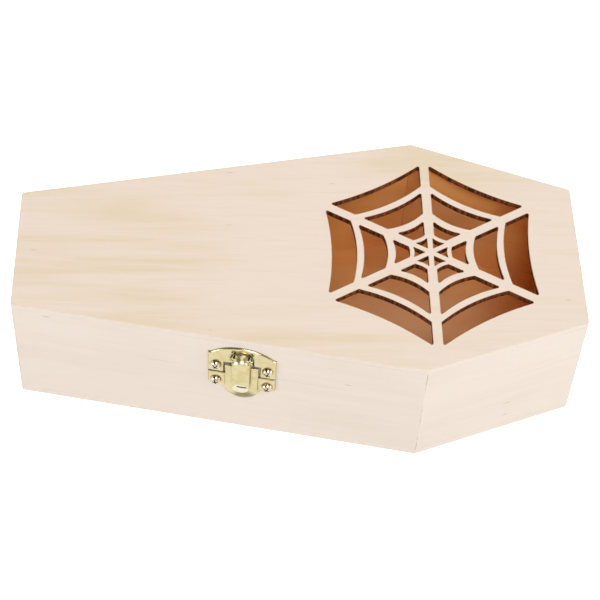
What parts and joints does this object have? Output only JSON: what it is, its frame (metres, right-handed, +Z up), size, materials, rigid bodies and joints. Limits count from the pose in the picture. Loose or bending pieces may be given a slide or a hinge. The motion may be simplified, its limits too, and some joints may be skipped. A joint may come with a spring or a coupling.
{
  "type": "coffin-shaped keepsake box",
  "caption": "Coffin-shaped wooden box with a hinged lid, a spider web cut through the lid, butt hinges behind and a swinging brass latch in front.",
  "frame": {"origin": "on the underside, at the middle of the box's length and on its centreline", "axes": "+X from the foot to the head, -Y out of the side with the latch, +Z up out of the lid"},
  "size_m": [0.2, 0.105, 0.0503],
  "materials": {
    "panel_wood": "bare, sanded",
    "wall_wood": "bare, sanded",
    "hinge_brass": "polished, plated",
    "latch_brass": "polished, plated",
    "screw_brass": "polished, plated"
  },
  "bodies": {
    "base": {"base_floor_panel": "panel_wood", "base_front_long_wall": "wall_wood", "base_front_shoulder_wall": "wall_wood", "base_head_wall": "wall_wood", "base_back_shoulder_wall": "wall_wood", "base_back_long_wall": "wall_wood", "base_foot_wall": "wall_wood", "head_hinge_base_leaf": "hinge_brass", "foot_hinge_base_leaf": "hinge_brass", "head_hinge_pin": "hinge_brass", "foot_hinge_pin": "hinge_brass", "base_hinge_screws": "screw_brass", "catch_plate": "latch_brass", "catch_plate_screws": "screw_brass"},
    "lid": {"lid_panel": "panel_wood", "lid_front_long_rim": "wall_wood", "lid_front_shoulder_rim": "wall_wood", "lid_head_rim": "wall_wood", "lid_back_shoulder_rim": "wall_wood", "lid_back_long_rim": "wall_wood", "lid_foot_rim": "wall_wood", "head_hinge_lid_leaf": "hinge_brass", "foot_hinge_lid_leaf": "hinge_brass", "lid_hinge_screws": "screw_brass", "latch_plate": "latch_brass", "latch_pin": "latch_brass", "latch_plate_screws": "screw_brass"},
    "latch_tongue": {"latch_tongue": "latch_brass"}
  },
  "joints": [
    {"name": "lid_hinge", "type": "hinge", "parent": "base", "child": "lid", "pos_m": [0.04225, 0.05437, 0.0318], "axis": [-0.9829, -0.1844, 0], "range_deg": [0, 180]},
    {"name": "latch_tongue_hinge", "type": "hinge", "parent": "lid", "child": "latch_tongue", "pos_m": [-0.02058, -0.04334, 0.0424], "axis": [-0.9829, 0.1844, 0], "range_deg": [0, 170]}
  ]
}
